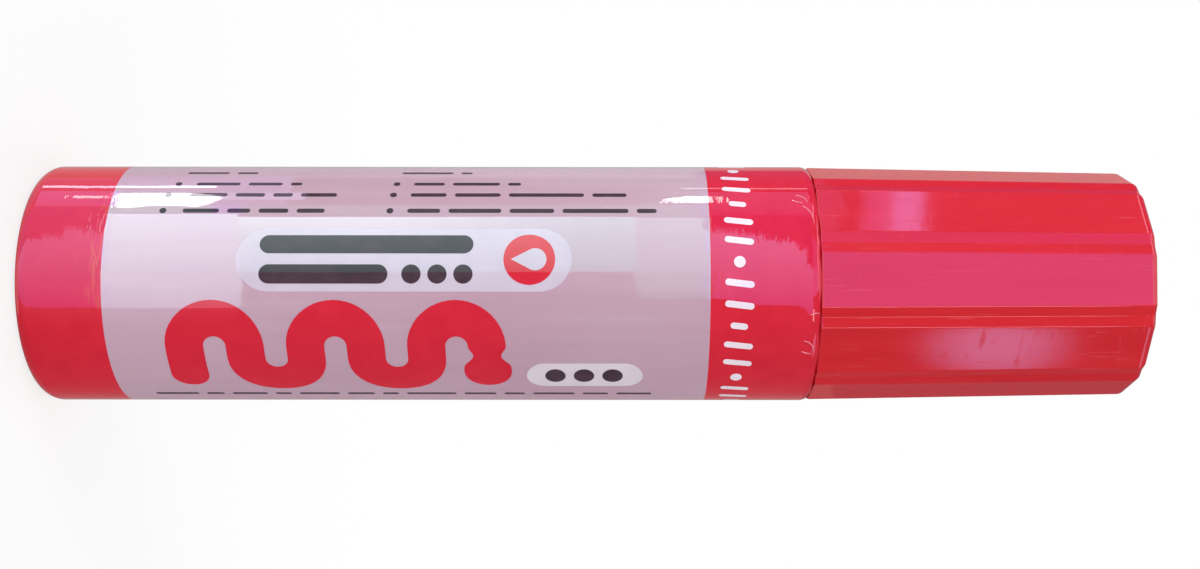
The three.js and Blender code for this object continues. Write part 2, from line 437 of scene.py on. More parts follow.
def arc(centre, radius, start, end, steps=10):
    """Points about a centre, between two angles in degrees."""
    angles = [math.radians(start + (end - start) * step / steps) for step in range(steps + 1)]
    return [(centre[0] + radius * math.cos(a), centre[1] + radius * math.sin(a)) for a in angles]


def crown(radius, start, end):
    """An arc about the crown's middle, with no more rounding."""
    return [(*point, 0) for point in arc((0, crown_height), radius, start, end, 14)]


dome = made("tip_dome", turned(softened([
    *crown(crown_inside, 90, 0),
    (5.2, 117.05, 0.4),
    (tip_hole, 115.9, 0.3),
    (tip_hole, flange_bottom, 0.15),
    (flange_radius, flange_bottom, 0.2),
    (flange_radius, flange_top, 0.3),
    (6.6, flange_top, 0.6),
    *crown(crown_outside, 0, 90),
], 0.15, closed=False), steps=96))
slit_outline = [(slit_half_length * x, slit_half_width * y) for x, y in (
    (-1, 0), (-0.5, -1), (0.5, -1), (1, 0), (0.5, 1), (-0.5, 1))]
blade = made("slit_blade", (
    [(x, y, z) for z in (crown_height, blade_top) for x, y in slit_outline],
    [[5, 4, 3, 2, 1, 0], [6, 7, 8, 9, 10, 11]]
    + [[side, (side + 1) % 6, 6 + (side + 1) % 6, 6 + side] for side in range(6)],
))
cut = dome.modifiers.new("slit", "BOOLEAN")
cut.operation = "DIFFERENCE"
cut.object = blade
bpy.context.view_layer.update()
tip = placed("rubber_dome_tip", bpy.data.meshes.new_from_object(
    dome.evaluated_get(bpy.context.evaluated_depsgraph_get())))
bpy.data.objects.remove(dome)
bpy.data.objects.remove(blade)

rubber, place = new_finish("natural_rubber")
cloud = rubber.grain(place, 3)
matt = rubber.grain(place, 0.25, 3)
dust = rubber.steep(rubber.grain(place, 0.5, 4), 0.62, 0.7)
tip.data.materials.clear()
tip.data.materials.append(rubber.surface({
    "Base Color": rubber.blend(dust * 0.35, rubber.blend(cloud, tint("B98243"), tint("CF9F5F")),
                               tint("E3D2B4")),
    "Roughness": 0.38 + 0.2 * matt + 0.15 * dust,
    "Normal": rubber.relief(matt, 0.015),
    "Subsurface Weight": 0.3,
    "Subsurface Radius": (1.0, 0.6, 0.3),
    "Subsurface Scale": 1.0 * mm,
}))
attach(tip, "bottle_body")
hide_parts("rubber_tip")


# Clamping ring: white polyethylene. It is pushed over the end of the neck until its inner
# groove snaps on the bead there, and its top holds the flange of the tip down for good.

ring_bore = 10.485
ring_mouth = 6.7
ring_bottom = 106.45
ring_seat = 113.25
ring_top = 114.35
snap_groove_half = 0.7

ring = made("clamping_ring", turned(softened([
    (ring_bore, ring_bottom),
    (neck_radius, ring_bottom, 0.15),
    (neck_radius, ring_top, 0.5),
    (ring_mouth, ring_top, 0.25),
    (ring_mouth, ring_seat),
    (ring_bore, ring_seat, 0.15),
    (ring_bore, snap_bead_middle + snap_groove_half),
    (ring_bore + snap_bead_depth, snap_bead_middle),
    (ring_bore, snap_bead_middle - snap_groove_half),
], 0.08), steps=144))
ring.data.materials.append(moulded_white("ring_plastic", "F2F0EC", "E4E1DB"))
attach(ring, "bottle_body")
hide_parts("tip_collar")


# Sleeve: a tube of thin shrink film, printed red at both ends and clear between them. Steam
# draws it tight over the body and round its corners. Its overlap seam runs up the back, and it
# keeps ripples near both ends, where it shrank most.

film_radius = 15.0
film_thickness = 0.15
film_back = film_radius - film_thickness
red_below = 10.8
red_above = 83.55
base_corner = (13.0, 1.8)
base_bend = 2.0
base_wrap = 50
shoulder_corner = (13.6, 95.8)
shoulder_bend = 1.4
shoulder_wrap = 80
shoulder_steps = 12
seam_half_width = 1.7
seam_height = 0.09
shrunk_above = 95.9
shrunk_over = 1.3
shrunk_depth = 0.03


def drawn_film(radius, height, angle):
    """Lifts the seam at the back and gives the film's end on the shoulder its unevenness."""
    from_seam = abs((angle + math.pi / 2) % (2 * math.pi) - math.pi)
    past_shoulder = max(0, height - shrunk_above) / shrunk_over
    if from_seam * film_radius < seam_half_width:
        radius += seam_height * (1 - min(1, past_shoulder))
    wave = math.sin(17 * angle) + 0.7 * math.sin(29 * angle + 1) + 0.5 * math.sin(47 * angle)
    return radius - shrunk_depth * past_shoulder * (1 + wave / 2), height


heights = [4.5, 7.5, red_below, 14, 20, *range(28, 78, 8), 80, red_above, 87, 91]
film = made("shrink_sleeve", turned([
    *arc(base_corner, base_bend, -base_wrap, 0),
    *[(film_radius, height) for height in heights],
    *arc(shoulder_corner, shoulder_bend, 0, shoulder_wrap, shoulder_steps),
    *arc(shoulder_corner, shoulder_bend - film_thickness, shoulder_wrap, 0, shoulder_steps),
    *[(film_back, height) for height in reversed(heights)],
    *arc(base_corner, base_bend - film_thickness, 0, -base_wrap),
], steps=288, drawn=drawn_film))


def film_ripple(finish, spot):
    """The film's own surface: long waves, ripples near its ends, and a few trapped specks."""
    height = finish.node("ShaderNodeSeparateXYZ", {}, {0: spot})["Z"]

    def rise(low, high):
        return finish.steep(height, low * mm, high * mm)

    ends = rise(18, 4) + rise(74, 84)
    long_waves = finish.grain(finish.stretched(spot, (1, 1, 0.45)), 9, 1)
    ripples = finish.grain(spot, 1.3, 1)
    puckered = rise(13.5, 9.5) * rise(3, 6.5) + rise(81.5, 84.5) * rise(91.5, 88)
    puckers = finish.grain(finish.stretched(spot, (0.25, 0.25, 1)), 0.4, 2)
    cells = finish.node("ShaderNodeTexVoronoi", {}, {"Vector": spot, "Scale": 190})
    chosen = finish.node("ShaderNodeSeparateColor", {}, {0: cells["Color"]}) > 0.72
    specks = chosen * (1 - finish.steep(cells["Distance"], 0.0, 0.045))
    return finish.relief(
        long_waves * 0.45 + ripples * (0.012 + 0.02 * ends) + specks * 0.05
        + puckers * puckered * 0.03, 0.35)


def film_rub(finish, spot):
    """Roughness of handled gloss film: clean in most places, dulled in soft patches."""
    scuffs = finish.grain(finish.stretched(spot, (1, 1, 0.3)), 2.5, 4)
    return 0.02 + 0.08 * finish.steep(scuffs, 0.55, 0.78)


def film_print(name, main, second, lump=1.5, gloss=0.5):
    """Glossy film with ink behind it, mottled a little by the print."""
    ink, spot = new_finish(name)
    mottle = ink.grain(spot, lump, 3)
    return ink.surface({
        "Base Color": ink.blend(ink.steep(mottle, 0.3, 0.7), tint(main), tint(second)),
        "Roughness": film_rub(ink, spot),
        "Normal": film_ripple(ink, spot),
        "IOR": 1.52,
        "Specular IOR Level": gloss,
    })


def clear_film(name):
    """Clear film tight on the milky bottle: soft clouds in the plastic, fine lines along it."""
    clear, spot = new_finish(name)
    cloud_layer = clear.grain(clear.stretched(spot, (1, 1, 0.5)), 11)
    lines = clear.grain(clear.stretched(spot, (1, 1, 0.05)), 0.7, 3)
    tone = clear.steep(cloud_layer * 0.75 + lines * 0.25, 0.36, 0.64)
    return clear.surface({
        "Base Color": clear.blend(tone, tint("C59FB3"), tint("CDABBD")),
        "Roughness": film_rub(clear, spot),
        "Normal": film_ripple(clear, spot),
        "IOR": 1.52,
        "Specular IOR Level": 1.0,
        "Subsurface Weight": 0.15,
        "Subsurface Radius": (1.0, 0.8, 0.9),
        "Subsurface Scale": 1.0 * mm,
    })


film.data.materials.append(film_print("red_print", "D42236", "D9273A"))
film.data.materials.append(clear_film("clear_film_on_milky_wall"))
for face in film.data.polygons:
    middle = face.center.z / mm
    face.material_index = 1 if red_below < middle < red_above else 0
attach(film, "bottle_body")
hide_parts("label_sleeve")


# Label print, the large bead: a thick bead of glue, drawn in waves and ended in a drop. Each
# ink is a thin layer bent round the bottle. It takes the film's gloss and ripples, because the
# real ink lies behind the film.

ink_thickness = 0.015
ink_root = 0.05


def from_front(radius, angle, height):
    """Point at an angle about the bottle's axis, measured from the front."""
    return (radius * math.sin(angle), -radius * math.cos(angle), height)


def printed(name, outlines, layer, finish):
    """Ink from closed outlines of (along the bottle, round the bottle) millimetres."""
    flat = bmesh.new()
    for outline in outlines:
        flat.faces.new([flat.verts.new((along, around, 0)) for along, around in outline])
    bmesh.ops.triangulate(flat, faces=flat.faces)
    lowest = min(vert.co.y for vert in flat.verts)
    highest = max(vert.co.y for vert in flat.verts)
    for step in range(math.floor(lowest) + 1, math.ceil(highest)):
        everything = flat.verts[:] + flat.edges[:] + flat.faces[:]
        bmesh.ops.bisect_plane(flat, geom=everything, dist=1e-4,
                               plane_co=(0, step, 0), plane_no=(0, 1, 0))
    flat.verts.index_update()
    points, faces = [], []
    for radius in (film_radius + ink_thickness * layer, film_radius - ink_root):
        points += [from_front(radius, vert.co.y / film_radius, vert.co.x) for vert in flat.verts]
    under = len(flat.verts)
    for face in flat.faces:
        loop = [vert.index for vert in face.verts]
        faces.append(loop)
        faces.append([under + corner for corner in reversed(loop)])
    for edge in flat.edges:
        if len(edge.link_faces) == 1:
            a, b = (vert.index for vert in edge.verts)
            faces.append([a, b, under + b, under + a])
    flat.free()
    ink = made(name, (points, faces), even=False)
    normals = []
    for face in ink.data.polygons:
        outward = Vector((face.center.x, face.center.y, 0)).normalized()
        for corner in face.vertices:
            co = ink.data.vertices[corner].co
            radial = Vector((co.x, co.y, 0)).normalized()
            normals.append(radial if face.normal.dot(outward) > 0.9 else face.normal)
    ink.data.normals_split_custom_set(normals)
    ink.data.materials.append(finish)
    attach(ink, "bottle_body")
    return ink


def stroke(line, widths):
    """Outline of a round-ended stroke along a line, whose half width may change."""
    end_steps = 16
    left, right = [], []
    for index, here in enumerate(line):
        before = Vector(line[max(index - 1, 0)])
        after = Vector(line[min(index + 1, len(line) - 1)])
        way = (after - before).normalized()
        side = Vector((-way.y, way.x)) * widths[index]
        left.append(Vector(here) + side)
        right.append(Vector(here) - side)
    outline = list(left)
    for end, start_side in ((line[-1], left[-1]), (line[0], right[0])):
        spoke = start_side - Vector(end)
        base = math.atan2(spoke.y, spoke.x)
        for step in range(1, end_steps):
            angle = base - math.pi * step / end_steps
            outline.append(Vector((end[0] + spoke.length * math.cos(angle),
                                   end[1] + spoke.length * math.sin(angle))))
        if end is line[-1]:
            outline += reversed(right)
    return [tuple(point) for point in outline]


bead_width = 4.6
bead_pitch = 7.3
bead_start = 20.2
bead_top = 4.3
bead_bottom = 13.5
bead_bends = 5
bead_steps = 24
first_rise = 1.0
drop_length = 4.0
drop_waist = 0.8
drop_waist_end = 0.8
drop_swelling = 0.6

bend = bead_pitch / 2
bead_line = [(bead_start, bead_bottom - first_rise)]
for index in range(bead_bends):
    middle = bead_start + bead_pitch * index + bend
    up = index % 2 == 0
    row = bead_top + bend if up else bead_bottom - bend
    for step in range(bead_steps + 1):
        angle = math.pi * step / bead_steps
        rise = bend * math.sin(angle)
        bead_line.append((middle - bend * math.cos(angle), row - rise if up else row + rise))
bead_half = [bead_width / 2] * len(bead_line)
drop_along = bead_start + bead_pitch * bead_bends
for step in range(1, bead_steps + 1):
    share = step / bead_steps
    waist = math.sin(math.pi * min(1, share / drop_waist_end)) ** 2
    swell = (1 - math.cos(math.pi * share)) / 2
    bead_line.append((drop_along, bead_top + bend + drop_length * share))
    bead_half.append(bead_width / 2 - drop_waist * waist + drop_swelling * swell)
red_ink = film_print("red_ink", "D42238", "D9273C")
printed("printed_glue_bead", [stroke(bead_line, bead_half)], 2, red_ink)


# Label print, the badge: a white bar with round ends beside the bead, in flat ink. It holds
# two grey bars, three grey dots, and a red disc with a white drop.


def bar(along, around, length, width, slant=0.0):
    """A straight round-ended stroke from its left end."""
    reach = length - width
    first = (along + width / 2, around)
    last = (first[0] + reach, around + slant * reach)
    return stroke([first, last], [width / 2] * 2)


def disc(along, around, radius, steps=36):
    return arc((along, around), radius, 0, 360, steps)[:-1]


def drop(along, around, radius, tail):
    """A drop whose pointed tail lies towards the base."""
    return [*arc((along, around), radius, -125, 125, 25), (along - tail, around)]


badge_middle = -2.9
badge_upper_row = -4.75
badge_lower_row = -1.1
grey_bar_start = 29.6
grey_bar_width = 2.3

white_ink = film_print("white_ink", "CDC0D3", "D2C5D7")
grey_ink = film_print("grey_ink", "44333D", "4C3A45", 1.0, 0.3)
printed("printed_badge", [bar(26.8, badge_middle, 40.2, 7.8)], 1, white_ink)
printed("printed_badge_bars", [
    bar(grey_bar_start, badge_upper_row, 25.6, grey_bar_width),
    bar(grey_bar_start, badge_lower_row, 15.4, grey_bar_width),
    *[disc(dot_along, badge_lower_row, grey_bar_width / 2) for dot_along in (47.8, 50.9, 54.0)],
], 2, grey_ink)
printed("printed_badge_disc", [disc(61.9, badge_middle, 3.1)], 2, red_ink)
printed("printed_badge_drop", [drop(62.6, badge_middle, 1.35, 2.9)], 3, white_ink)


# Label print, the small marks: a pale bar with three dots, rows of fine grey dashes above and
# below the badge and the bead, and slanted white dashes and dots round the upper red band.

pale_bar_middle = 12.85
pale_ink = film_print("pale_ink", "DDD0DE", "E1D6E2")
printed("printed_pale_bar", [bar(61.4, pale_bar_middle, 14.2, 4.5)], 1, pale_ink)
printed("printed_pale_bar_dots", [
    disc(dot_along, pale_bar_middle, 1.25) for dot_along in (64.9, 68.4, 71.9)], 2, grey_ink)

row_width = 0.62
row_gap = 1.0
row_dot_radius = 0.42

# Each row: its angle from the front, the place of its dot, its start, and its dashes' lengths.
dash_rows = [
    (-66.6, None, 18.8, (5.2, 2.6)),
    (-54.6, 18.4, 20.6, (5.4, 4.2, 1.4)),
    (-46.0, 17.6, 20.2, (4.6, 3.6, 2.4, 4.4)),
    (-35.8, 17.4, 19.8, (4.4, 2.8, 3.6, 3.4)),
    (-66.6, None, 45.6, (6.4, 1.4)),
    (-54.6, 45.3, 47.4, (3.8, 5.8, 1.6)),
    (-46.0, 45.1, 47.2, (4.4, 5.6, 9.2, 4.2)),
    (-35.8, 44.9, 47.0, (4.0, 6.4, 5.4, 8.0, 2.4)),
    (66.6, None, 14.8, (5.4, 2.2, 4.4, 2.0, 5.0, 3.4, 2.0, 6.2, 4.0, 2.6, 5.2, 3.2, 4.4)),
]
dashes = []
for angle, dot_along, start, lengths in dash_rows:
    around = math.radians(angle) * film_radius
    if dot_along is not None:
        dashes.append(disc(dot_along, around, row_dot_radius, 16))
    for length in lengths:
        dashes.append(bar(start, around, length, row_width))
        start += length + row_gap
printed("printed_dash_rows", dashes, 1, grey_ink)

# The marks stand all round the band in groups of six, and none lies on the seam.
mark_count = 36
mark_group = 6
mark_width = 0.8
mark_slant = 0.12
marks = []
for index in range(1, mark_count):
    around = 2 * math.pi * film_radius * (index / mark_count - 0.5)
    if index % mark_group == 5:
        marks.append(disc(87.05, around, 0.7, 20))
    elif index % mark_group == 2:
        marks.append(bar(86.0, around - 0.1, 2.1, mark_width, mark_slant))
    else:
        marks.append(bar(85.3, around - 0.2, 3.5, mark_width, mark_slant))
printed("printed_band_marks", marks, 1, film_print("band_white", "EBDDEA", "F2E8F1"))


# Film creases: short folds that stand up where the shrinking film had width to spare at the
# shoulder. They are the film itself, pinched into fine ridges. Their ink is a pale pink, lighter
# than the red print round them: a painted glint along each fold.

fold_width = 0.24
fold_height = 0.08
fold_root = 0.06
fold_crest = 0.35


def on_film(height, angle):
    """Point of the film's outer surface at a height, angle in degrees from the front."""
    up = max(0, height - shoulder_corner[1])
    out = shoulder_corner[0] + math.sqrt(shoulder_bend ** 2 - up ** 2)
    return Vector(from_front(out, math.radians(angle), height))


def ridge(path):
    """A fold along (height, angle) points, low at both ends."""
    points = []
    spots = [on_film(*spot) for spot in path]
    for index, spot in enumerate(spots):
        way = spots[min(index + 1, len(spots) - 1)] - spots[max(index - 1, 0)]
        out = Vector((spot.x, spot.y, 0)).normalized()
        side = way.cross(out).normalized() * fold_width / 2
        crest = fold_height * 0.3 if index in (0, len(spots) - 1) else fold_height
        for offset, lift in ((-1, -fold_root), (-fold_crest, crest),
                             (fold_crest, crest), (1, -fold_root)):
            points.append(tuple(spot + side * offset + out * lift))
    return points, rod_faces(len(spots) - 1)


creases = made("film_creases", *[ridge(path) for path in (
    [(94.2, -46.0), (94.9, -45.2), (95.4, -43.6), (95.6, -41.6)],
    [(93.7, -42.6), (94.3, -41.6), (95.0, -40.9)],
    [(95.0, -38.8), (95.5, -37.2), (95.9, -34.8), (96.1, -31.6)],
    [(95.5, 14.6), (96.1, 13.8), (96.6, 13.9)],
    [(94.9, 27.4), (95.5, 28.2), (96.0, 30.2), (96.1, 32.4)],
    [(94.7, 33.2), (95.2, 34.0), (95.9, 34.6)],
    [(95.6, 96.0), (96.1, 97.6), (96.2, 99.4)],
    [(95.4, 171.0), (95.9, 172.4), (96.2, 174.6)],
    [(95.5, -128.0), (96.0, -126.6), (96.1, -124.4)],
)])
# Pale pink in place of the band's red: a painted glint on the folds.
creases.data.materials.append(film_print("creases_painted_glint", "E47585", "EA8695", 0.6))
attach(creases, "bottle_body")


# Cap: moulded in one piece from red polypropylene, with ten flat panels, slightly tapered, and
# a shallow V groove down each corner, for grip. Inside are the thread and a round socket that
# holds the sealing cup.

panel_count = 10
panel_half = math.pi / panel_count
first_panel = math.radians(-92)
cap_mouth = 96.89
cap_end = 137.6
cap_ceiling = 136.2
mouth_apothem = 14.535
cap_wall = 1.75
cap_slope = math.tan(math.radians(0.95))
cap_corner = 1.2
groove_half = 1.4
groove_depth = 0.17
groove_rim_radius = 0.5
groove_bottom_radius = 0.4
socket_bottom = 131.2
socket_bore = 8.5
socket_outside = 9.55
cap_thread_root = 12.85
cap_thread_crest = 11.75
cap_thread_start = 100.7
cap_thread_turns = 1.4
bore_lead_in = [(13.7, 97.26), (12.92, 97.3), (12.8, 97.5), (12.775, 97.7)]


def panel_distance(height):
    return mouth_apothem - (height - cap_mouth) * cap_slope


def cap_ring(apothem, height):
    """Outline of the cap, its groove rims and bottoms rounded as they leave the mould."""
    rim = apothem * math.tan(panel_half) - groove_half
    bottom = apothem / math.cos(panel_half) - groove_half * math.tan(panel_half) - groove_depth
    corners = []
    for panel in range(panel_count):
        facing = first_panel + 2 * panel_half * panel
        for along in (-rim, rim):
            corners.append((apothem * math.cos(facing) - along * math.sin(facing),
                            apothem * math.sin(facing) + along * math.cos(facing),
                            groove_rim_radius))
        groove = facing + panel_half
        corners.append((bottom * math.cos(groove), bottom * math.sin(groove),
                        groove_bottom_radius))
    return [(x, y, height) for x, y in softened(corners, 0.2)]


def round_ring(like, radius, height):
    """A circle with one point beside each point of another ring."""
    turns = [math.atan2(y, x) for x, y, _ in like]
    return [(radius * math.cos(a), radius * math.sin(a), height) for a in turns]


def cap_shape():
    """The cap as rings from its end round the mouth's lip, up the bore and down the socket."""
    end_start = cap_end - cap_corner
    end_inset = panel_distance(end_start) - cap_corner
    outline = [
        *arc((end_inset, end_start), cap_corner, 90, 0),
        (panel_distance(cap_mouth + 0.3), cap_mouth + 0.3),
        (panel_distance(cap_mouth + 0.08), cap_mouth + 0.08),
        (mouth_apothem - 0.03, cap_mouth + 0.01),
        (mouth_apothem - 0.1, cap_mouth + 0.01),
        (mouth_apothem - 0.35, cap_mouth + 0.18),
    ]
    outside = [cap_ring(apothem, height) for apothem, height in outline]
    mouth = outside[-1]
    bore_top = panel_distance(cap_ceiling) - cap_wall
    inside = [round_ring(mouth, radius, height) for radius, height in (
        *bore_lead_in,
        (bore_top + 0.02, cap_ceiling - 0.5),
        (bore_top - 0.15, cap_ceiling - 0.15),
        (bore_top - 0.5, cap_ceiling),
        (socket_outside + 0.15, cap_ceiling),
        (socket_outside + 0.05, cap_ceiling - 0.2),
        (socket_outside, socket_bottom + 0.15),
        (socket_outside - 0.15, socket_bottom),
        (socket_bore + 0.2, socket_bottom),
        (socket_bore, socket_bottom + 0.3),
        (socket_bore, cap_ceiling),
    )]
    rings = outside + inside
    count = len(mouth)
    points = [point for one in rings for point in one]
    points += [(0, 0, cap_end), (0, 0, cap_ceiling)]
    faces = []
    for side in range(count):
        onward = (side + 1) % count
        faces.append([len(points) - 2, onward, side])
        last = (len(rings) - 1) * count
        faces.append([len(points) - 1, last + side, last + onward])
        for index in range(len(rings) - 1):
            here, there = index * count, (index + 1) * count
            faces.append([here + side, here + onward, there + onward, there + side])
    return points, faces


cap_thread = thread(cap_thread_root, cap_thread_crest, cap_thread_start,
                    cap_thread_turns, thread_start_angle)
cap = made("faceted_cap", cap_shape(), cap_thread, sharp=24)

glossy, place = new_finish("glossy_red_polypropylene")
streaks = glossy.grain(glossy.stretched(place, (1, 1, 0.1)), 1.6, 3)
sink = glossy.grain(glossy.stretched(place, (1, 1, 0.35)), 7, 1)
fine = glossy.grain(place, 0.5, 2)
rubbed = glossy.steep(glossy.grain(glossy.stretched(place, (0.25, 0.25, 1)), 0.5, 5), 0.56, 0.72)
scratches = glossy.steep(
    glossy.grain(glossy.stretched(place, (1, 1, 0.03)), 0.12, 2), 0.66, 0.72)
cells = glossy.node("ShaderNodeTexVoronoi", {}, {"Vector": place, "Scale": 260})
specks = 1 - glossy.steep(cells["Distance"], 0.02, 0.06)
cap.data.materials.append(glossy.surface({
    "Base Color": glossy.blend(
        scratches * 0.18 + specks * 0.12,
        glossy.blend(glossy.steep(streaks, 0.3, 0.7), tint("CE222C"), tint("D3272F")),
        tint("E86A70")),
    "Roughness": 0.05 + 0.09 * rubbed + 0.15 * scratches + 0.03 * streaks,
    "Normal": glossy.relief(sink * 0.5 + fine * 0.015 - scratches * 0.004 + specks * 0.01, 0.12),
    "IOR": 1.5,
}))
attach(cap, "cap_body")
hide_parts("cap_shell")


# Sealing cup: natural polyethylene, pressed into the socket of the cap. It shuts over the
# rubber tip, and its bevelled lip comes down on the clamping ring.

cup_outside = 8.4
cup_inside = 7.5
cup_lip = 114.45
cup_lip_bevel = 0.4
cup_ceiling = 135.25
cup_top = 136.15

cup = made("sealing_cup", turned(softened([
    (0, cup_ceiling, 0),
    (cup_inside, cup_ceiling, 0.4),
    (cup_inside, cup_lip, 0.12),
    (cup_outside - cup_lip_bevel, cup_lip, 0.12),
    (cup_outside, cup_lip + cup_lip_bevel, 0.12),
    (cup_outside, cup_top, 0.3),
    (0, cup_top, 0),
], 0.1, closed=False), steps=120))
cup.data.materials.append(moulded_white("cup_polyethylene", "E9E7E2", "DCD9D3"))
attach(cup, "cap_rise_body")
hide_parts("seal_cup")


# Sealing disc: soft white foam, punched from sheet and pushed into the top of the cup, where
# it presses on the slit.

foam_radius = 7.4
foam_bottom = 133.6
foam_top = 135.2
foam_rounding = 0.25

foam_disc = made("foam_disc", turned(softened([
    (0, foam_bottom, 0),
    (foam_radius, foam_bottom, foam_rounding),
    (foam_radius, foam_top, foam_rounding),
    (0, foam_top, 0),
], 0.1, closed=False), steps=96))

foam, place = new_finish("closed_cell_foam")
pores = foam.node("ShaderNodeTexVoronoi", {}, {"Vector": place, "Scale": 3200})["Distance"]
# The foam is darker in the pits of its pores, where the bump sinks: painted shade in them.
foam_disc.data.materials.append(foam.surface({
    "Base Color": foam.blend(foam.steep(pores, 0.1, 0.6), tint("D9D8D2"), tint("F4F4F0")),
    "Roughness": 0.75 + 0.2 * pores,
    "Normal": foam.relief(pores, 0.06),
}))
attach(foam_disc, "cap_lift_body")
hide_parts("seal_disc")


# Studio: a white sheet under the bottle in a soft white room, with one strong soft lamp on the
# upper side of the picture, a weak one opposite and one behind. Glowing cards that only
# reflections see give the gloss its shapes. Sizes here are in metres.

room_light = 0.73
sheet_half = 4.0
sheet_glow_near = 0.78
sheet_glow_from = 0.03
sheet_glow_full = 0.3
camera_lens = 45.54
camera_place = (0.00013, -0.196, 0.07035)
camera_roll = math.radians(0.05)
lamp_aim = Vector((0, 0, 0.07))
lamp_width = 0.6


def white_room_rays(finish):
    """1 for rays from the camera and for reflected and refracted ones, else 0."""
    path = finish.node("ShaderNodeLightPath")
    seen = path["Is Camera Ray"]
    for kind in ("Is Glossy Ray", "Is Transmission Ray"):
        seen = seen.maths("MAXIMUM", seen, path[kind])
    return seen


room = Finish(bpy.context.scene.world or bpy.data.worlds.new("room"))
bpy.context.scene.world = room.owner
sky = room.node("ShaderNodeBackground", {}, {
    "Color": (1, 1, 1, 1),
    "Strength": room_light + (1 - room_light) * white_room_rays(room),
})
room.node("ShaderNodeOutputWorld", {}, {"Surface": sky})

sheet_mesh = bpy.data.meshes.new("white_sheet")
sheet_mesh.from_pydata([(sheet_half * x, sheet_half * y, 0) for x, y in (
    (-1, -1), (1, -1), (1, 1), (-1, 1))], [], [[0, 1, 2, 3]])
sheet = placed("white_sheet", sheet_mesh)
sheet.visible_glossy = False
paper, spot = new_finish("white_paper")
matt_white = paper.node("ShaderNodeBsdfDiffuse", {}, {"Color": (0.92, 0.92, 0.92, 1)})
glow = paper.node("ShaderNodeEmission", {}, {"Color": (1, 1, 1, 1), "Strength": 1.0})
away = paper.node("ShaderNodeVectorMath", {"operation": "LENGTH"}, {0: spot})
far_share = paper.steep(away, sheet_glow_from, sheet_glow_full)
paper_mix = paper.node("ShaderNodeMixShader", {}, {
    0: white_room_rays(paper) * (sheet_glow_near + (1 - sheet_glow_near) * far_share),
    1: matt_white, 2: glow})
sheet_mesh.materials.append(paper.output(paper_mix))

camera = placed("camera", bpy.data.cameras.new("camera"))
camera.data.lens = camera_lens
camera.data.sensor_width = 36
camera.data.clip_start = 0.01
camera.data.clip_end = 20
lying = Matrix(((0, -1, 0), (0, 0, -1), (1, 0, 0)))
camera.matrix_world = (Matrix.Translation(camera_place)
                       @ (lying @ Matrix.Rotation(camera_roll, 3, "Z")).to_4x4())
bpy.context.scene.camera = camera
bpy.context.scene.view_settings.view_transform = "Standard"

for name, lamp_place, power in (
        ("upper_lamp", (-0.77, -0.64, 0.35), 4.5),
        ("lower_lamp", (0.7, -0.6, 0.4), 0.8),
        ("rear_lamp", (0.2, 0.9, 0.6), 3.0)):
    lamp = bpy.data.lights.new(name, "AREA")
    lamp.shape = "DISK"
    lamp.size = lamp_width
    lamp.energy = power
    holder = placed(name, lamp)
    holder.location = lamp_place
    holder.rotation_mode = "QUATERNION"
    holder.rotation_quaternion = (lamp_aim - Vector(lamp_place)).to_track_quat("-Z", "Y")
    holder.visible_glossy = False


def card(name, radius, rows, colour, last=None, soft=None):
    """A glowing card bent round the bottle, seen only in reflections.

    Its rows are (height, from angle, to angle), in degrees from the camera's side. With last,
    its colour runs to that one at the far angle. With soft, it fades out from its middle over
    that width and height."""
    points, faces = [], []
    steps = 24
    for height, start, end in rows:
        for step in range(steps + 1):
            angle = math.radians(start + (end - start) * step / steps)
            points.append(from_front(radius, angle, height))
    for row in range(len(rows) - 1):
        for step in range(steps):
            here = row * (steps + 1) + step
            faces.append([here, here + 1, here + steps + 2, here + steps + 1])
    mesh = bpy.data.meshes.new(name)
    mesh.from_pydata(points, [], faces)
    shown = placed(name, mesh)
    shine, place = new_finish(name)
    glow = (*colour, 1)
    if last:
        ends = [radius * math.sin(math.radians(angle)) for angle in rows[-1][1:]]
        share = shine.node("ShaderNodeMapRange", {}, {
            "Value": shine.node("ShaderNodeSeparateXYZ", {}, {0: place})["X"],
            "From Min": ends[0], "From Max": ends[1]})
        glow = shine.blend(share, glow, (*last, 1))
    light = shine.node("ShaderNodeEmission", {}, {"Color": glow, "Strength": 1.0})
    if soft:
        middle = math.radians((rows[0][1] + rows[0][2]) / 2)
        centre = from_front(radius, middle, (rows[0][0] + rows[-1][0]) / 2)
        away = shine.node("ShaderNodeVectorMath", {"operation": "SUBTRACT"}, {0: place, 1: centre})
        scaled = shine.stretched(away, (1 / soft[0], 1 / soft[0], 1 / soft[1]))
        length = shine.node("ShaderNodeVectorMath", {"operation": "LENGTH"}, {0: scaled})
        clear = shine.node("ShaderNodeBsdfTransparent")
        light = shine.node("ShaderNodeMixShader", {}, {
            0: 1 - shine.steep(length, 0.2, 1.0), 1: clear, 2: light})
    mesh.materials.append(shine.output(light))
    shown.visible_camera = False
    shown.visible_diffuse = False
    shown.visible_shadow = False
    shown.visible_transmission = False


def block(start, end, low, high):
    return [(low, start, end), (high, start, end)]


def ragged(height, angle):
    """The uneven edge of the window's light: short teeth over a slower wave."""
    teeth = 6.0 * abs(math.sin(height * 1050)) + 3.4 * abs(math.sin(height * 1730 + 1))
    return angle + teeth + 2.0 * math.sin(height * 420 + 2) - 4.5


def span(low, high, spacing):
    count = round((high - low) / spacing)
    return [low + (high - low) * step / count for step in range(count + 1)]


def between(value, *stops):
    """Straight runs through (value, result) stops."""
    for (low, first), (high, second) in zip(stops, stops[1:]):
        if value <= high:
            return first + (second - first) * max(0, value - low) / (high - low)
    return stops[-1][1]


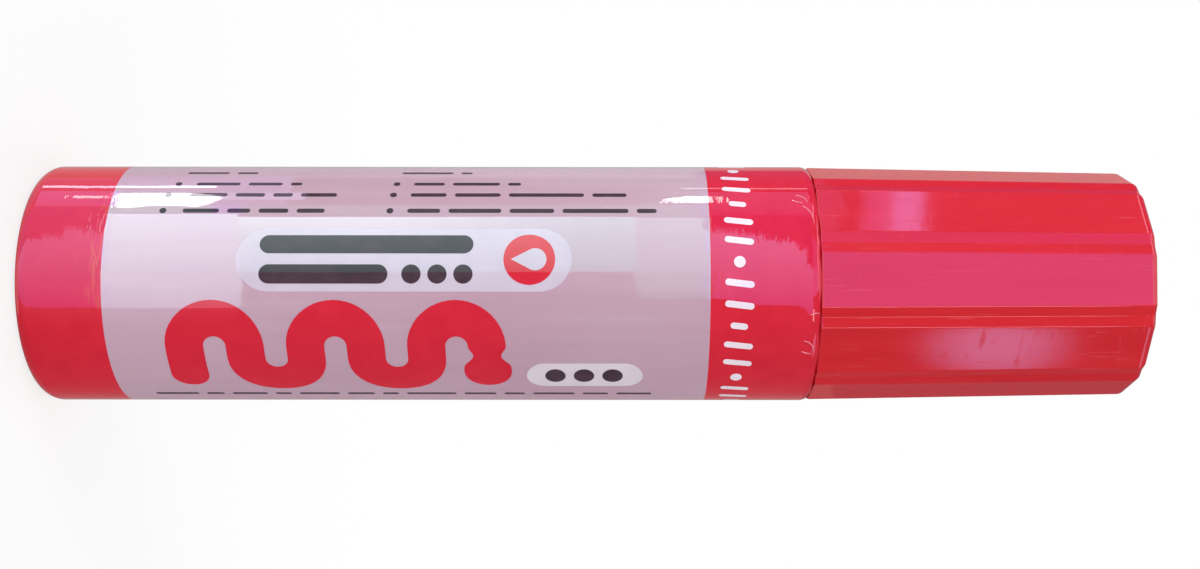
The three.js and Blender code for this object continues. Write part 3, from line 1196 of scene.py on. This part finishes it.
# The window's light comes in pieces along the bottle: near its base, over the badge, beyond it
# and over the cap. A block is two angles and two heights. A second colour is its far angle's.
card_radius = 0.5
beyond = 2.0
window_foot = 23
near_end = -0.147
badge_start = -0.088
badge_end = 0.086
badge_strips = 12
far_end = 0.116
cap_start = 0.179
tooth_spacing = 0.0003
near_edge = [(-0.169, -44.3), (-0.1665, -53), (-0.1655, -56), (-0.161, -56), (-0.1595, -50),
             (-0.151, -50), (-0.149, -68)]
far_edge = [(0.112, -54), (0.136, -49.7), (0.158, -39.5), (0.161, -38), (0.166, -22),
            (0.172, -10), (0.175, -16), (0.179, -46)]
far_foot = [(0.1245, 14.7), (0.137, 20.3), (0.16, 20.6), (0.167, 28)]

badge_strip = (badge_end - badge_start) / badge_strips
over_badge = []
for index in range(badge_strips):
    foot = badge_start + badge_strip * index
    fading = [between(foot, (-0.03, first), (0.03, second), (badge_end, third))
              for first, second, third in ((3.5, 2.2, 1.4), (5.4, 4.2, 3.1), (5.3, 4.2, 2.9))]
    over_badge.append((f"over_badge_{index}", block(-66, -10.7, foot, foot + badge_strip),
                       fading, (0.5, 1.7, 1.6)))
near_rows = [(height, ragged(height, between(height, *near_edge)), window_foot)
             for height in span(-0.195, near_end, tooth_spacing)]
beyond_rows = [(height, ragged(height, between(height, *far_edge)), between(height, *far_foot))
               for height in span(far_end, cap_start, tooth_spacing)]
for name, rows, colour, *last in (
        ("near", [(-beyond, -44.3, 22), *near_rows], (1.7, 2.35, 4.5), (1.3, 0.65, 2.1)),
        ("middle", block(-69.5, window_foot, near_end, badge_start),
         (3.2, 4.6, 4.8), (1.4, 1.5, 1.9)),
        *over_badge,
        ("far", block(-65, 14.5, badge_end, far_end), (1.4, 2.4, 2.5), (0.4, 0.7, 0.7)),
        ("beyond", beyond_rows, (1.1, 2.25, 4.7), (0.95, 0.6, 2.2)),
        ("over_cap", block(-47, -16, cap_start, beyond), (1.0, 0.5, 1.75)),
        ("cap", block(-16, 12.5, cap_start, beyond), (1.0, 0.87, 2.9)),
        ("tail", block(window_foot, 40, -beyond, badge_start),
         (0.35, 0.4, 0.5), (0.16, 0.14, 0.16))):
    card(f"window_{name}", card_radius, rows, colour, *last)

# The rest of the room is darker than the window, and stands behind it.
room_radius = 0.56
room_far = 0.117
low_end = 0.19
upper_end = 0.2
for name, sides, colour, *last in (
        ("dark_side", (12, 85, -beyond, beyond), (0.16, 0.14, 0.16)),
        ("low_side", (85, 178, -beyond, low_end), (0.18, 0.15, 0.17), (0.5, 0.4, 0.38)),
        ("low_end", (85, 178, low_end, beyond), (0.14, 0.15, 0.17)),
        ("notch", (-15, 12, -0.23, 0.21), (0.3, 0.26, 0.3)),
        ("upper", (-80, -13, -beyond, -0.1), (0.7, 0.75, 1.9), (0.5, 0.55, 1.3)),
        ("upper_middle", (-80, -13, -0.1, room_far), (0.4, 0.9, 0.9), (0.3, 0.4, 0.4)),
        ("upper_far", (-80, -68, room_far, upper_end), (0.45, 0.6, 1.6), (0.25, 0.35, 1.2)),
        ("side_far", (-68, -13, room_far, upper_end), (0.15, 0.15, 0.9), (0.1, 0.08, 0.6)),
        ("upper_end", (-80, -13, upper_end, beyond), (0.25, 0.2, 0.45)),
        ("top", (-124, -80, -beyond, -0.08), (0.6, 0.65, 0.95)),
        ("top_middle", (-124, -80, -0.08, room_far), (0.1, 0.2, 0.15)),
        ("top_far", (-99, -80, room_far, low_end), (0.5, 0.6, 1.4)),
        ("top_far_edge", (-145, -99, room_far, low_end), (0.15, 0.15, 0.3)),
        ("top_end", (-145, -80, low_end, beyond), (0.1, 0.1, 0.3)),
        ("back", (-180, -124, -beyond, room_far), (0.45, 0.5, 0.5)),
        ("back_end", (-180, -145, room_far, beyond), (0.45, 0.5, 0.5))):
    card(f"room_{name}", room_radius, block(*sides), colour, *last)

# The lamps' own lights: broken strips near both ends of the clear film, thin lines beside
# them, and glints on the cap. The core of the first strip stands before the other cards.
core_radius = 0.49
near_strip = [
    (height, -97 + taper, -78.5 - 1.5 * taper + 2 * math.sin(height * 2100))
    for height, taper in (
        (-0.143, 1.0), (-0.14, 0), (-0.13, 0), (-0.12, 0), (-0.112, 0), (-0.107, 0.8),
        (-0.104, 2.5), (-0.102, 2.0), (-0.1, 4.2), (-0.097, 5.5))]
far_strip = [
    (height,
     -93.5 + between(height, (0.098, 4.5), (0.108, 0)) + 2.5 * abs(math.sin(height * 2900)),
     -82 - between(height, (0.098, 5), (0.106, 0)) - 2.5 * abs(math.sin(height * 2300 + 1)))
    for height in span(0.098, 0.123, tooth_spacing)]
curl = [
    (height, -85.5 + 1.5 * math.sin(height * 1900), -84 + 1.5 * math.sin(height * 1900))
    for height in span(0.096, 0.107, 0.0005)]
card("lamp_strip_first", card_radius, block(-100, -79, -0.2, -0.143), (1.3, 1.3, 2.9))
card("lamp_strip_core", core_radius, block(-93, -89.5, -0.164, -0.143), (9, 9, 10))
for name, rows, colour in (
        ("lamp_strip_near", near_strip, (14, 14, 15)),
        ("lamp_strip_fade", block(-97, -87, -0.1, -0.06), (1.3, 1.4, 2.0)),
        ("lamp_strip_far", far_strip, (12, 12, 12.5)),
        ("lamp_strip_curl", curl, (9, 9, 9.5)),
        ("lamp_line", block(-108.6, -105.2, -0.194, -0.1), (7, 7, 9)),
        ("lamp_over_cap", block(-96, -89, 0.18, 0.213), (2.5, 2, 3)),
        ("lamp_strip_fringe", block(-79, -70.5, -0.149, -0.1), (0.4, 1.6, 1.4)),
        ("lamp_far_line", block(-105.5, -103.5, 0.105, 0.17), (2.4, 2.5, 3.2)),
        ("lamp_round_shoulder", block(-104, 10, 0.75, 1.4), (2.4, 1.9, 2.6)),
        ("cap_end_upper", block(-92, -66, 0.345, 0.47), (3, 2.6, 3.6)),
        ("cap_end_lower", block(58, 82, 0.345, 0.6), (1.6, 1.5, 2.2)),
        ("cap_line", block(25, 36, 0.185, 0.32), (7, 5.5, 6.5)),
        ("cap_glare", block(-84, -73, 0.213, 0.2265), (2.6, 2.6, 6.5)),
        ("cap_glare_soft", block(-84, -73, 0.2, 0.213), (1.6, 0.9, 2.6))):
    card(name, card_radius, rows, colour)
card("cap_glow", card_radius, block(63, 76, 0.215, 0.306), (1.7, 2.7, 5.2), soft=(0.02, 0.045))
